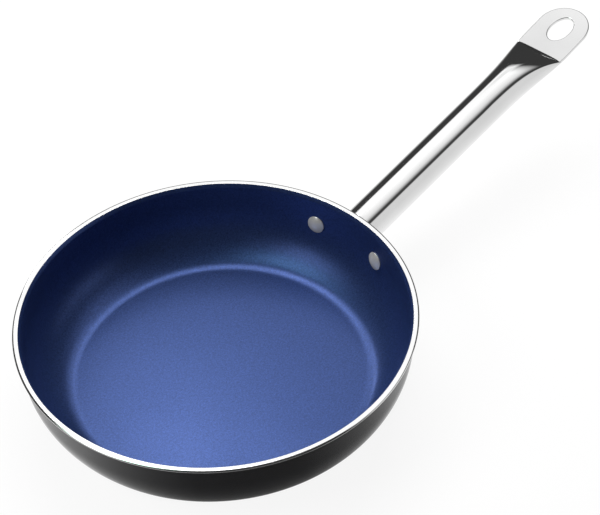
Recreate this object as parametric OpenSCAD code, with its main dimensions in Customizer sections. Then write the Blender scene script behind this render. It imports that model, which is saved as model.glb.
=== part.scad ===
// Deep frying pan: pressed steel body with a non-stick lining, black enamel outside,
// a stainless band closed over the rim, and a tubular stainless handle on a riveted bracket.
// Millimetres. The origin is on the pan's axis in its resting plane, +Z is up and
// the handle points along +X.

/* [Pan] */
// Diameter over the rim band
rim_d = 240; // [200:1:280]
// Height from the resting plane to the top of the rim
pan_h = 53; // [48:0.5:70]
// Thickness of the base, lining included
base_t = 2.6; // [2:0.1:5]
// Thickness of the pressed steel in the wall
wall_core_t = 1.5; // [1:0.1:2.5]
// Radius of the bowl-shaped part of the wall, inside, seen in section
bowl_r = 38.2; // [37:0.1:42]
// Depth that the bowl's arc would reach below the floor, if it ran on
bowl_sink = 2.9; // [1.5:0.1:4]
// Lean of the straight upper wall, in degrees
wall_draft = 1.5; // [0:0.1:4]
// Radius of the corner between the floor and the wall, inside
floor_corner_r = 10; // [6:0.5:14]
// Radius of the heel between the base and the wall, outside, on the steel
heel_r = 6; // [3:0.5:12]

/* [Coatings] */
// Thickness of the non-stick lining
lining_t = 0.25; // [0.2:0.05:0.4]
// Thickness of the black enamel
enamel_t = 0.25; // [0.2:0.05:0.4]
// Angle round the heel at which the enamel starts, from the bare resting face, in degrees
enamel_start = 30; // [25:1:40]

/* [Rim] */
// Width of the rim band, seen from above
rim_w = 3.5; // [3.2:0.1:5]
// Height of the rim band over its outer edge
rim_h = 1.5; // [1.4:0.1:2]
// Thickness of the sheet that the rim band is rolled from
band_t = 0.25; // [0.2:0.05:0.3]
// Radius of the lip where the wall turns out to the rim, on the lining
lip_r = 1; // [0.8:0.1:1.5]

/* [Handle] */
// Outer diameter of the handle's tube
tube_d = 25; // [20:0.5:28]
// Thickness of the tube's wall
tube_wall = 1.2; // [0.8:0.1:1.6]
// Rise of the handle, in degrees
handle_rise = 12; // [4:0.5:20]
// Depth of the handle's axis below the rim, where it meets the bracket
handle_drop = 19; // [18.5:0.25:24]
// Length of the round tube
tube_l = 120; // [90:1:180]
// Length over which the tube is pressed flat
squash_l = 70; // [40:1:80]

/* [Handle end] */
// Length of the flat end, from the bend line to the tip
tab_l = 42.5; // [38:0.5:60]
// Width of the flat end
tab_w = 36.3; // [32:0.1:38]
// Tilt of the flat end against the tube, in degrees
tab_tilt = 2.5; // [0:0.5:8]
// Length of the oval hanging hole
hole_l = 22; // [14:0.5:26]
// Width of the oval hanging hole
hole_w = 14.8; // [10:0.2:18]
// Distance from the bend line to the middle of the hanging hole
hole_from_bend = 22.9; // [16:0.1:24]

/* [Bracket] */
// Thickness of the bracket's sheet
bracket_t = 1.6; // [1:0.1:2.5]
// Radius of the bracket's middle, round the tube
bracket_middle_r = 16.5; // [16:0.1:17]
// Radius of each of the bracket's ears, round its rivet
bracket_ear_r = 8.5; // [7:0.5:11]
// Length of each leg of the weld between the tube and the bracket
weld_leg = 2.2; // [1.5:0.1:2.8]

/* [Rivets] */
// Angle of each rivet from the handle, seen from above
rivet_angle = 12.8; // [11.5:0.1:15]
// Depth of the rivets below the rim
rivet_drop = 20.5; // [18:0.25:24]
// Diameter of the domed head inside the pan
rivet_head_d = 11.7; // [9:0.1:13]
// Height of the domed head inside the pan
rivet_head_h = 2.6; // [2:0.1:3.5]
// Height of the straight edge of the domed head
rivet_edge_h = 0.8; // [0.6:0.1:1.2]
// Diameter of the shank
rivet_shank_d = 6; // [4:0.1:8]
// Diameter of the head closed on the bracket
rivet_tail_d = 10; // [8.5:0.1:12]
// Height of the head closed on the bracket
rivet_tail_h = 2.2; // [1.5:0.1:3]
// Radial clearance of the shank in its holes
rivet_fit = 0.05; // [0.02:0.01:0.15]

/* [Hidden] */

$fn = 96;
// Steps of each arc in a section, and points round the handle
arc_steps = 6;
bowl_steps = 18;
ring_points = 56;
squash_steps = 16;
// Rounds in which the cut of the tube's root closes in on the bracket
root_rounds = 8;
// Overrun of a cut or a blank past the face that it meets
overrun = 1;

// Colours
lining_colour = [0.17, 0.25, 0.55];
enamel_colour = [0.05, 0.05, 0.06];
steel_colour = [0.45, 0.46, 0.48];
polished_colour = [0.85, 0.86, 0.88];
rivet_colour = [0.65, 0.64, 0.62];

// Section of the pan, as [radius, height]
rim_r = rim_d / 2;
floor_z = base_t;
bowl_z = floor_z + bowl_r - bowl_sink;
wall_t = lining_t + wall_core_t + enamel_t;
// Centre of the lip's arc
lip_c = [rim_r - rim_w, pan_h - band_t - lip_r];
// Centre of the bowl's arc: its offset by wall_draft runs on into the straight wall
bowl_c = [
    lip_c[0] - (lip_r + bowl_r) / cos(wall_draft)
        + (bowl_z - lip_c[1]) * tan(wall_draft),
    bowl_z
];
// Centre of the arc between the floor and the bowl, and the angle where they meet
corner_c = blend_centre(floor_z + floor_corner_r, bowl_r - floor_corner_r);
corner_end = meet_angle(corner_c);
// Centre of the arc between the base and the wall's outer face, and the angle where they meet
heel_c = blend_centre(heel_r, bowl_r + wall_t - enamel_t - heel_r);
heel_end = meet_angle(heel_c);
// Underside of the enamelled rim, and the radius where the rim band starts its outer bend
rim_under_z = pan_h - rim_h + band_t;
bend_r = rim_r - rim_h / 2;

// Centre at height z of an arc that touches the bowl's arc, dist from the bowl's centre
function blend_centre(z, dist) = [bowl_c[0] + sqrt(pow(dist, 2) - pow(bowl_c[1] - z, 2)), z];

// Angle from the bowl's centre to a blend's centre
function meet_angle(c) = atan2(c[1] - bowl_c[1], c[0] - bowl_c[0]);

// Points of an arc from angle a to angle b
function arc(c, r, a, b, steps) =
    [for (i = [0:steps]) let (t = a + (b - a) * i / steps) c + r * [cos(t), sin(t)]];

function reversed(list) = [for (i = [len(list) - 1:-1:0]) list[i]];

// Lining's free surface, or one parallel to it at depth, from the axis to the rim's bend
function inner_path(depth) = concat(
    [[0, floor_z - depth]],
    arc(corner_c, floor_corner_r + depth, -90, corner_end, arc_steps),
    arc(bowl_c, bowl_r + depth, corner_end, -wall_draft, bowl_steps),
    arc(lip_c, lip_r - depth, 180 - wall_draft, 90, arc_steps),
    [[bend_r, pan_h - band_t - depth]]
);

// Enamel's free surface, or one parallel to it at depth, from start degrees round the heel to
// the rim's bend
function outer_path(depth, start) = concat(
    arc(heel_c, heel_r + enamel_t - depth, start - 90, heel_end, arc_steps),
    arc(bowl_c, bowl_r + wall_t - depth, heel_end, -wall_draft, bowl_steps),
    [
        [wall_r(rim_under_z + depth, wall_t - depth), rim_under_z + depth],
        [bend_r, rim_under_z + depth]
    ]
);

// Radius of the wall at height z, on the surface that lies depth outside the lining's
function wall_r(z, depth) =
    z < bowl_c[1] - (bowl_r + depth) * sin(wall_draft)
    ? bowl_c[0] + sqrt(pow(bowl_r + depth, 2) - pow(z - bowl_c[1], 2))
    : bowl_c[0] + (bowl_r + depth) / cos(wall_draft) + (z - bowl_c[1]) * tan(wall_draft);

// Handle: its axis starts on the bracket's outer face and rises along +X
tube_r = tube_d / 2;
tab_t = 2 * tube_wall;
bend_u = tube_l + squash_l;
bracket_depth = wall_t + bracket_t;
handle_z = pan_h - handle_drop;
handle_x = wall_r(handle_z, bracket_depth);
// Powers that the pressed part's height, width and squareness follow along its length
height_power = 5;
width_power = 3;
square_power = 5;
// Squareness of a round section and of the pressed part's last one
round_square = 2;
end_square = 3;
// Power that crowds the pressed part's sections towards its end, where the height falls fastest
crowd_power = 0.5;
// Share of the pressed part after which its two walls lie on each other
closed_share = 0.98;
// Share of the flat end's thickness that the pressed part's last section takes up
sunk_share = 0.75;
// Half width and half height of that last section, sunk into the flat end
pressed_half_w = (tab_w - tube_wall) / 2;
pressed_half_h = sunk_share * tab_t / 2;
// Length of the flat end inside the pressed part, and how much narrower its root is
tab_root_l = tab_t / 2;
tab_root_taper = tab_t;

// Shank, holes and heads of the rivets
rivet_z = pan_h - rivet_drop;
rivet_lean = rivet_z < bowl_c[1] ? asin((rivet_z - bowl_c[1]) / bowl_r) : -wall_draft;
rivet_hole_r = rivet_shank_d / 2 + rivet_fit;
// Ears of the bracket lie on the rivets' axes
ear_y = wall_r(rivet_z, bracket_depth) * sin(rivet_angle);

// Point of the handle's own frame, in the pan's frame
function handle_point(p) = [
    handle_x + p[0] * cos(handle_rise) - p[2] * sin(handle_rise),
    p[1],
    handle_z + p[0] * sin(handle_rise) + p[2] * cos(handle_rise)
];

// Distance of a handle point from the bracket's outer face, along the pan's radius
function past_bracket(p) = norm([p[0], p[1]]) - wall_r(p[2], bracket_depth);

// Distance along the handle at which the line through [y, z] leaves the bracket
function root_u(y, z, u = 0, rounds = root_rounds) =
    rounds == 0
    ? u
    : root_u(y, z, u - past_bracket(handle_point([u, y, z])) / cos(handle_rise), rounds - 1);

// Mean of a ring's points
function middle(ring, i = 0, total = [0, 0, 0]) =
    i == len(ring) ? total / i : middle(ring, i + 1, total + ring[i]);

function power(x, p) = sign(x) * pow(abs(x), p);

// One point of the handle's section at distance u, inset from its outer face
function section_point(u, angle, inset) =
    let (share = max(0, (u - tube_l) / squash_l))
    let (half_w = tube_r + (pressed_half_w - tube_r) * pow(share, width_power) - inset)
    let (half_h = tube_r + (pressed_half_h - tube_r) * pow(share, height_power) - inset)
    let (p = 2 / (round_square + (end_square - round_square) * pow(share, square_power)))
    [u, half_w * power(cos(angle), p), half_h * power(sin(angle), p)];

function ring_angles() = [for (i = [0:ring_points - 1]) 360 * i / ring_points];

function section_ring(u, inset) = [for (a = ring_angles()) section_point(u, a, inset)];

// Root of the tube, cut to the bracket's curve
function root_ring(inset) = [
    for (p = section_ring(0, inset)) [root_u(p[1], p[2]), p[1], p[2]]
];

// Rings along the pressed part, up to a share of its length
function pressed_rings(inset, end_share) = [
    for (i = [0:squash_steps])
        section_ring(tube_l + squash_l * end_share * pow(i / squash_steps, crowd_power), inset)
];

// Solid through rings of as many points each, closed at both ends by a fan of triangles
module skin(rings) {
    count = len(rings[0]);
    last = len(rings) - 1;
    first_mid = (last + 1) * count;
    last_mid = first_mid + 1;
    sides = [
        for (i = [0:last - 1], j = [0:count - 1])
            let (k = (j + 1) % count)
            each [
                [i * count + j, (i + 1) * count + k, (i + 1) * count + j],
                [i * count + j, i * count + k, (i + 1) * count + k]
            ]
    ];
    first_fan = [for (j = [0:count - 1]) [first_mid, (j + 1) % count, j]];
    last_fan = [for (j = [0:count - 1]) [last_mid, last * count + j, last * count + (j + 1) % count]];
    polyhedron(
        concat([for (ring = rings) each ring], [middle(rings[0]), middle(rings[last])]),
        concat(sides, first_fan, last_fan)
    );
}

// Ring-shaped solid through closed sections of as many points each
module ring_skin(sections) {
    count = len(sections[0]);
    total = len(sections);
    polyhedron(
        [for (s = sections) each s],
        [
            for (i = [0:total - 1], j = [0:count - 1])
                let (n = (i + 1) % total, k = (j + 1) % count)
                each [
                    [i * count + j, n * count + k, i * count + k],
                    [i * count + j, n * count + j, n * count + k]
                ]
        ]
    );
}

// Frame of the handle, its +X along the tube
module on_handle() {
    translate([handle_x, 0, handle_z]) rotate([0, -handle_rise, 0]) children();
}

// Frame of each rivet: its +Z points out through the wall, from the lining's face
module at_rivets() {
    for (side = [-1, 1])
        rotate([0, 0, side * rivet_angle])
            translate([wall_r(rivet_z, 0), 0, rivet_z])
                rotate([0, 90 - rivet_lean, 0])
                    children();
}

module rivet_holes() {
    at_rivets()
        translate([0, 0, -rivet_head_h])
            cylinder(r = rivet_hole_r, h = rivet_head_h + bracket_depth + rivet_tail_h);
}

// Ring of the wall between two depths, over the height of the bracket
module wall_ring(depth_a, depth_b) {
    low_z = handle_z - bracket_middle_r - overrun;
    high_z = handle_z + bracket_middle_r + overrun;
    steps = [for (i = [0:bowl_steps]) low_z + (high_z - low_z) * i / bowl_steps];
    rotate_extrude()
        polygon(concat(
            [for (z = steps) [wall_r(z, depth_a), z]],
            [for (z = reversed(steps)) [wall_r(z, depth_b), z]]
        ));
}

module pan_body() {
    color(steel_colour) difference() {
        rotate_extrude()
            polygon(concat(inner_path(lining_t), reversed(outer_path(enamel_t, 0)), [[0, 0]]));
        rivet_holes();
    }
}

module nonstick_lining() {
    color(lining_colour) difference() {
        rotate_extrude() polygon(concat(inner_path(0), reversed(inner_path(lining_t))));
        rivet_holes();
    }
}

module outer_enamel() {
    color(enamel_colour) difference() {
        rotate_extrude()
            polygon(concat(
                outer_path(enamel_t, enamel_start),
                reversed(outer_path(0, enamel_start))
            ));
        rivet_holes();
    }
}

// Sheet folded over the rim: a top leg, a round outer bend and a short leg below
module rim_band() {
    bend_c = [bend_r, pan_h - rim_h / 2];
    under_r = wall_r(rim_under_z, wall_t) + band_t;
    color(polished_colour)
        rotate_extrude()
            polygon(concat(
                [[lip_c[0], pan_h]],
                arc(bend_c, rim_h / 2, 90, -90, 2 * arc_steps),
                [[under_r, pan_h - rim_h], [under_r, rim_under_z]],
                arc(bend_c, rim_h / 2 - band_t, -90, 90, 2 * arc_steps),
                [[lip_c[0], pan_h - band_t]]
            ));
}

function oval(size_x, size_y, steps) = [
    for (i = [0:steps - 1]) let (t = 360 * i / steps) [size_x / 2 * cos(t), size_y / 2 * sin(t)]
];

// Flat end with its round tip and oval hole; +X is along it, from the bend line
module tab() {
    end_r = tab_w / 2;
    translate([bend_u, 0, 0]) rotate([0, -tab_tilt, 0]) translate([0, 0, -tab_t / 2])
        linear_extrude(tab_t) difference() {
            polygon(concat(
                [[-tab_root_l, end_r - tab_root_taper], [-tab_root_l, tab_root_taper - end_r]],
                [[0, -end_r]],
                arc([tab_l - end_r, 0], end_r, -90, 90, 4 * arc_steps),
                [[0, end_r]]
            ));
            translate([hole_from_bend, 0]) polygon(oval(hole_l, hole_w, 8 * arc_steps));
        }
}

// Tube, cut to the bracket at its root and pressed flat towards the far end
module handle_tube() {
    color(polished_colour) on_handle() {
        skin(concat(
            reversed(pressed_rings(0, 1)),
            [root_ring(0), root_ring(tube_wall)],
            pressed_rings(tube_wall, closed_share)
        ));
        tab();
    }
}

// Sheet pressed to the wall's curve, with a wide middle for the tube and an ear for each rivet
module handle_bracket() {
    color(polished_colour) difference() {
        intersection() {
            wall_ring(wall_t, bracket_depth);
            rotate([90, 0, 90]) linear_extrude(rim_r + bracket_depth) hull() {
                translate([0, handle_z]) circle(bracket_middle_r);
                for (side = [-1, 1])
                    translate([side * ear_y, rivet_z]) circle(bracket_ear_r);
            }
        }
        rivet_holes();
    }
}

// Section of the weld at one angle round the tube: up the tube, over the bead and down to
// the bracket
function weld_section(angle) =
    let (y = tube_r * cos(angle), z = tube_r * sin(angle))
    let (out = (tube_r + weld_leg) / tube_r, half_out = (tube_r + weld_leg / 2) / tube_r)
    let (root = root_u(y, z), foot = root_u(y * out, z * out))
    [
        [root, y, z],
        [root + weld_leg, y, z],
        [(root + foot) / 2 + weld_leg / 2, y * half_out, z * half_out],
        [foot, y * out, z * out]
    ];

// Bead of weld round the root of the tube
module handle_weld() {
    color(polished_colour) on_handle() ring_skin([for (a = ring_angles()) weld_section(a)]);
}

// Domed head with a straight edge, from the lining's face down to the dome's top
module domed_head(d, h, edge_h) {
    dome_h = h - edge_h;
    dome_r = (pow(d / 2, 2) + pow(dome_h, 2)) / (2 * dome_h);
    intersection() {
        translate([0, 0, dome_r - h]) sphere(dome_r);
        translate([0, 0, -h - overrun]) cylinder(d = d, h = h + 2 * overrun);
    }
}

// Each rivet passes through the wall and the bracket, and its heads follow their faces
module rivets() {
    color(rivet_colour) {
        difference() {
            at_rivets() {
                domed_head(rivet_head_d, rivet_head_h, rivet_edge_h);
                translate([0, 0, bracket_depth]) mirror([0, 0, 1])
                    domed_head(rivet_tail_d, rivet_tail_h, rivet_edge_h);
            }
            wall_ring(0, bracket_depth);
        }
        at_rivets()
            translate([0, 0, -rivet_edge_h])
                cylinder(d = rivet_shank_d, h = bracket_depth + 2 * rivet_edge_h);
    }
}

pan_body();
nonstick_lining();
outer_enamel();
rim_band();
handle_tube();
handle_bracket();
handle_weld();
rivets();
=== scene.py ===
"""Frying pan with a blue lining, a black enamelled outside and a pressed tubular steel handle.

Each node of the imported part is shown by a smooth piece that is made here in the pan's own frame: the
base rests on z = 0 and the handle points along +X. Sizes are in millimetres in the dataclasses, and
meshes are in metres.
"""

import logging
import math
from collections.abc import Callable, Iterable, Iterator, Mapping, Sequence
from contextlib import contextmanager
from dataclasses import dataclass
from enum import Enum

import bpy
from mathutils import Matrix, Vector

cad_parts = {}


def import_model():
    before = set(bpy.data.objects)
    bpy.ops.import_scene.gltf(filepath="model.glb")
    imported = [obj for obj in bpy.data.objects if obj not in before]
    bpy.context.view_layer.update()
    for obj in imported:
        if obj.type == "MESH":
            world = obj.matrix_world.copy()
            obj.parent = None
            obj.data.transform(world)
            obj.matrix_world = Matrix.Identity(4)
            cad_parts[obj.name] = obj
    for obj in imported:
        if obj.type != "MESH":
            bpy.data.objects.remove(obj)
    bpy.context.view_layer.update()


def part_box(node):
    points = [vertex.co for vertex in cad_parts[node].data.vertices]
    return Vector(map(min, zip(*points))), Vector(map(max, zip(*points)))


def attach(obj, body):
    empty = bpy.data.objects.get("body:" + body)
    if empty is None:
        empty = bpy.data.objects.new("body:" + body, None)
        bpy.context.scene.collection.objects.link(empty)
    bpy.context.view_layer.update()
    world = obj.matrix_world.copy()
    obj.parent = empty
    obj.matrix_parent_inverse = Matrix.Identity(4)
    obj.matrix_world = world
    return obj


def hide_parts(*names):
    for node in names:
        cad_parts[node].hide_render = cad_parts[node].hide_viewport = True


log = logging.getLogger("frying_pan")

MM = 0.001
ROOT = "root"
SPIN_STEPS = 192
MERGE_DISTANCE = 2e-6
COLLAPSED = 5e-6
UNIT = (0.0, 1.0)
STEEL = (0.84, 0.84, 0.84)
ACROSS = (1.0, 0.0, 0.0)
AWAY = (0.0, 1.0, 0.0)
UP = (0.0, 0.0, 1.0)
UPRIGHT = (0.0, math.pi / 2, 0.0)

Point = tuple[float, float]
Place = tuple[float, float, float]
Colour = tuple[float, float, float]
Stops = tuple[Point, ...]
Piece = bpy.types.Object
Material = bpy.types.Material
Node = bpy.types.Node
Socket = bpy.types.NodeSocket


class Slot(Enum):
    """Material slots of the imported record."""

    BODY = "body_steel"
    LINING = "nonstick"
    ENAMEL = "black_enamel"
    RIM = "rim_steel"
    HANDLE = "polished_steel"
    WELD = "weld_steel"
    RIVET = "rivet_metal"


class Run(Enum):
    """Way in which fine marks run over a piece."""

    ROUND = "round the pan's axis"
    ALONG = "along the handle"


# Bench tools


def clear_bench() -> None:
    """Leaves edit mode and deselects every object."""
    if bpy.context.object and bpy.context.object.mode != "OBJECT":
        bpy.ops.object.mode_set(mode="OBJECT")
    bpy.ops.object.select_all(action="DESELECT")


def pick(piece: Piece) -> None:
    """Makes a piece the only selected object, and the active one.

    Args:
        piece: The object to select.
    """
    clear_bench()
    piece.select_set(True)
    bpy.context.view_layer.objects.active = piece


@contextmanager
def editing(piece: Piece, select: bool | None = True) -> Iterator[None]:
    """Opens a piece in edit mode, and leaves edit mode at the end.

    Args:
        piece: The object to edit.
        select: Whether all or nothing of it is selected first, or None to keep the selection.

    Yields:
        Nothing, while the piece is open.
    """
    pick(piece)
    bpy.ops.object.mode_set(mode="EDIT")
    if select is not None:
        bpy.ops.mesh.select_all(action="SELECT" if select else "DESELECT")
    yield
    bpy.ops.object.mode_set(mode="OBJECT")


def add_mesh(operator: Callable[..., object], name: str, **settings: object) -> Piece:
    """Adds a mesh by one of Blender's operators.

    Args:
        operator: The operator, such as the one that adds a plane.
        name: Name of the new piece and of its mesh.
        settings: The operator's settings by name.

    Returns:
        The new piece.
    """
    clear_bench()
    operator(**settings)
    piece = bpy.context.object
    piece.name = name
    piece.data.name = name
    return piece


def add_circle(name: str, points: int, radius: float, **settings: object) -> Piece:
    """Adds a ring of edges with a radius in millimetres, level unless the settings turn it."""
    size = {"vertices": points, "radius": radius * MM}
    return add_mesh(bpy.ops.mesh.primitive_circle_add, name, **size, **settings)


def apply_place(piece: Piece) -> None:
    """Puts the object's place, turn and scale into its mesh."""
    pick(piece)
    bpy.ops.object.transform_apply(location=True, rotation=True, scale=True)


def place_piece(piece: Piece, matrix: Matrix) -> None:
    """Moves a piece by a matrix and puts its place into its mesh.

    Args:
        piece: The object to move.
        matrix: Its place in the frame that it moves to, in metres.
    """
    piece.matrix_world = matrix
    bpy.context.view_layer.update()
    apply_place(piece)


def extrude(step: Sequence[float]) -> None:
    """Extrudes what is selected in edit mode by a step in metres."""
    bpy.ops.mesh.extrude_region_move(TRANSFORM_OT_translate={"value": tuple(step)})


def tidy_mesh(piece: Piece) -> None:
    """Merges doubled vertices and turns all faces outwards.

    Args:
        piece: The closed mesh or sheet.
    """
    with editing(piece):
        bpy.ops.mesh.remove_doubles(threshold=MERGE_DISTANCE)
        bpy.ops.mesh.normals_make_consistent(inside=False)


def drop_collapsed(piece: Piece) -> None:
    """Merges near vertices, cuts faces to triangles and removes those without an area.

    Args:
        piece: The mesh that a union has left.
    """
    with editing(piece):
        bpy.ops.mesh.remove_doubles(threshold=COLLAPSED)
        bpy.ops.mesh.quads_convert_to_tris(quad_method="BEAUTY", ngon_method="BEAUTY")
        bpy.ops.mesh.dissolve_degenerate(threshold=COLLAPSED)


def apply_modifier(piece: Piece, kind: str, **settings: object) -> None:
    """Adds a modifier with its settings and applies it.

    Args:
        piece: The object that gets it.
        kind: Blender's type of the modifier.
        settings: Its properties by name.
    """
    pick(piece)
    modifier = piece.modifiers.new(kind.title(), kind)
    for name, value in settings.items():
        setattr(modifier, name, value)
    bpy.ops.object.modifier_apply(modifier=modifier.name)


def weigh_normals(piece: Piece) -> None:
    """Lets large faces decide how their edges are shaded, with sharp edges kept."""
    apply_modifier(piece, "WEIGHTED_NORMAL", keep_sharp=True, weight=80)


def smooth(piece: Piece, crease: float = 30.0) -> None:
    """Shades a piece smooth, with its sharp edges kept and its flat faces kept flat.

    Args:
        piece: The object to shade.
        crease: Angle in degrees from which an edge stays sharp.
    """
    pick(piece)
    bpy.ops.object.shade_smooth_by_angle(angle=math.radians(crease))
    weigh_normals(piece)


def thicken(piece: Piece, thickness: float, offset: float, edge: float, steps: int, limit: float) -> None:
    """Gives a sheet its thickness and rounds its edges.

    Args:
        piece: The sheet.
        thickness: Its thickness, in millimetres.
        offset: 0 to grow on both sides, 1 or -1 to grow on one.
        edge: Width of the rounding.
        steps: Steps over the rounding.
        limit: Smallest angle of an edge that is rounded, in degrees.
    """
    apply_modifier(piece, "SOLIDIFY", thickness=thickness * MM, offset=offset)
    tidy_mesh(piece)
    rounding = {"width": edge * MM, "segments": steps, "limit_method": "ANGLE"}
    apply_modifier(piece, "BEVEL", **rounding, angle_limit=math.radians(limit))


def reshape(piece: Piece, move: Callable[[Vector], Sequence[float]]) -> None:
    """Moves every vertex of a mesh to the place that move gives for it, both in millimetres."""
    for vertex in piece.data.vertices:
        vertex.co = Vector(move(vertex.co / MM)) * MM


def turn_section(name: str, section: Sequence[Point], steps: int = SPIN_STEPS) -> Piece:
    """Draws a section by extruding one vertex along it, and spins it round the Z axis.

    Args:
        name: Name of the piece.
        section: Points as radius and height, in millimetres.
        steps: Steps of the full turn.

    Returns:
        The closed solid of revolution, its doubles merged and its faces outwards.
    """
    piece = add_mesh(bpy.ops.mesh.primitive_plane_add, name, size=MM)
    with editing(piece):
        bpy.ops.mesh.merge(type="CENTER")
        bpy.ops.transform.translate(value=(section[0][0] * MM, 0.0, section[0][1] * MM))
        for before, after in zip(section, section[1:]):
            extrude(((after[0] - before[0]) * MM, 0.0, (after[1] - before[1]) * MM))
        bpy.ops.mesh.select_all(action="SELECT")
        bpy.ops.mesh.spin(steps=steps, angle=math.tau, center=(0, 0, 0), axis=UP)
    tidy_mesh(piece)
    return piece


def finish_piece(piece: Piece, node: str, material: Material) -> Piece:
    """Dresses a piece and lets it stand for its CAD node.

    Args:
        piece: The finished mesh.
        node: The CAD node that it replaces.
        material: Its material.

    Returns:
        The same piece.
    """
    piece.data.materials.clear()
    piece.data.materials.append(material)
    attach(piece, ROOT)
    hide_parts(node)
    log.info("%s stands for %s: %d faces", piece.name, node, len(piece.data.polygons))
    return piece


# Sections


def arc(centre: Point, radius: float, start: float, end: float, steps: int) -> list[Point]:
    """Points of an arc.

    Args:
        centre: Its centre.
        radius: Its radius.
        start: Angle of its first point, in degrees.
        end: Angle of its last point.
        steps: Steps between them.

    Returns:
        One point more than the steps.
    """
    turns = [math.radians(start + (end - start) * i / steps) for i in range(steps + 1)]
    return [(centre[0] + radius * math.cos(t), centre[1] + radius * math.sin(t)) for t in turns]


def meet_angle(start: Point, centre: Point) -> float:
    """Angle in degrees from one arc's centre to another's."""
    return math.degrees(math.atan2(centre[1] - start[1], centre[0] - start[0]))


@dataclass(frozen=True)
class PanSection:
    """Sizes of the pan's section, in millimetres, and the paths that follow from them."""

    rim_r: float
    pan_h: float
    base_t: float = 2.6
    core_t: float = 1.5
    lining_t: float = 0.25
    enamel_t: float = 0.25
    bowl_r: float = 38.2
    bowl_sink: float = 2.9
    draft: float = 1.5
    corner_r: float = 16.0
    heel_r: float = 6.0
    enamel_start: float = 30.0
    rim_w: float = 3.5
    rim_h: float = 1.5
    band_t: float = 0.25
    lip_r: float = 1.0
    lip_w: float = 0.25
    lip_h: float = 2.1
    bend_w: float = 1.15
    support: float = 1.0
    corner_steps: int = 12
    bowl_steps: int = 32
    heel_steps: int = 14

    @property
    def wall_t(self) -> float:
        """Thickness of the wall with both coats."""
        return self.lining_t + self.core_t + self.enamel_t

    @property
    def lip_c(self) -> Point:
        """Centre of the solids' lip, which the wall would touch if it weren't chamfered here."""
        return self.rim_r - self.rim_w, self.pan_h - self.band_t - self.lip_r

    @property
    def bowl_c(self) -> Point:
        """Centre of the bowl's arc.

        Returns:
            Its radius and its height.
        """
        height = self.base_t + self.bowl_r - self.bowl_sink
        lip = self.lip_c
        reach = (self.lip_r + self.bowl_r) / math.cos(math.radians(self.draft))
        return lip[0] - reach + (height - lip[1]) * math.tan(math.radians(self.draft)), height

    @property
    def under_z(self) -> float:
        """Height of the underside of the enamelled flange."""
        return self.pan_h - self.rim_h + self.band_t

    @property
    def bend_c(self) -> Point:
        """Centre of the flange's round edge."""
        return self.rim_r - self.rim_h / 2, self.pan_h - self.rim_h / 2

    def blend_centre(self, height: float, distance: float) -> Point:
        """Centre at a height of an arc that touches the bowl's, distance from the bowl's centre."""
        bowl = self.bowl_c
        return bowl[0] + math.sqrt(distance**2 - (bowl[1] - height) ** 2), height

    def wall_r(self, height: float, depth: float) -> float:
        """Radius of the wall, or of a surface parallel to it, at a height.

        Args:
            height: The height, on the bowl or above it.
            depth: Distance outside the lining's surface.

        Returns:
            The radius, on the bowl's arc or on the straight wall.
        """
        bowl, lean = self.bowl_c, math.radians(self.draft)
        reach = self.bowl_r + depth
        if height < bowl[1] - reach * math.sin(lean):
            return bowl[0] + math.sqrt(reach**2 - (height - bowl[1]) ** 2)
        return bowl[0] + reach / math.cos(lean) + (height - bowl[1]) * math.tan(lean)

    def inner_path(self, depth: float) -> list[Point]:
        """Section of the lining's free surface, or of one below it.

        Args:
            depth: Distance below the free surface.

        Returns:
            The points from the axis to the rim's bend.
        """
        floor, top = self.base_t - depth, self.pan_h - self.band_t
        corner = self.blend_centre(self.base_t + self.corner_r, self.bowl_r - self.corner_r)
        turn = meet_angle(self.bowl_c, corner)
        heights = (self.bowl_c[1] + self.support, top - self.lip_h - self.support, top - self.lip_h)
        return [
            (0.0, floor),
            (corner[0] / 2, floor),
            (corner[0] - self.support, floor),
            *arc(corner, self.corner_r + depth, -90, turn, self.corner_steps),
            *arc(self.bowl_c, self.bowl_r + depth, turn, -self.draft, self.bowl_steps)[1:],
            *((self.wall_r(height, depth), height) for height in heights),
            (self.lip_c[0] + self.lip_w, top - depth),
            (self.bend_c[0], top - depth),
        ]

    def outer_path(self, depth: float, start: float) -> list[Point]:
        """Section of the enamel's free surface, or of one below it.

        Args:
            depth: Distance below the free surface.
            start: Angle round the heel of the first point, in degrees.

        Returns:
            The points from the heel to the rim's bend.
        """
        heel = self.blend_centre(self.heel_r, self.bowl_r + self.core_t + self.lining_t - self.heel_r)
        turn = meet_angle(self.bowl_c, heel)
        under = self.under_z + depth
        heights = (self.bowl_c[1] + self.support, under - self.support, under)
        out = self.wall_t - depth
        return [
            *arc(heel, self.heel_r + self.enamel_t - depth, start - 90, turn, self.heel_steps),
            *arc(self.bowl_c, self.bowl_r + out, turn, -self.draft, self.bowl_steps)[1:],
            *((self.wall_r(height, out), height) for height in heights),
            (self.bend_c[0], under),
        ]


# Shader tools


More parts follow.
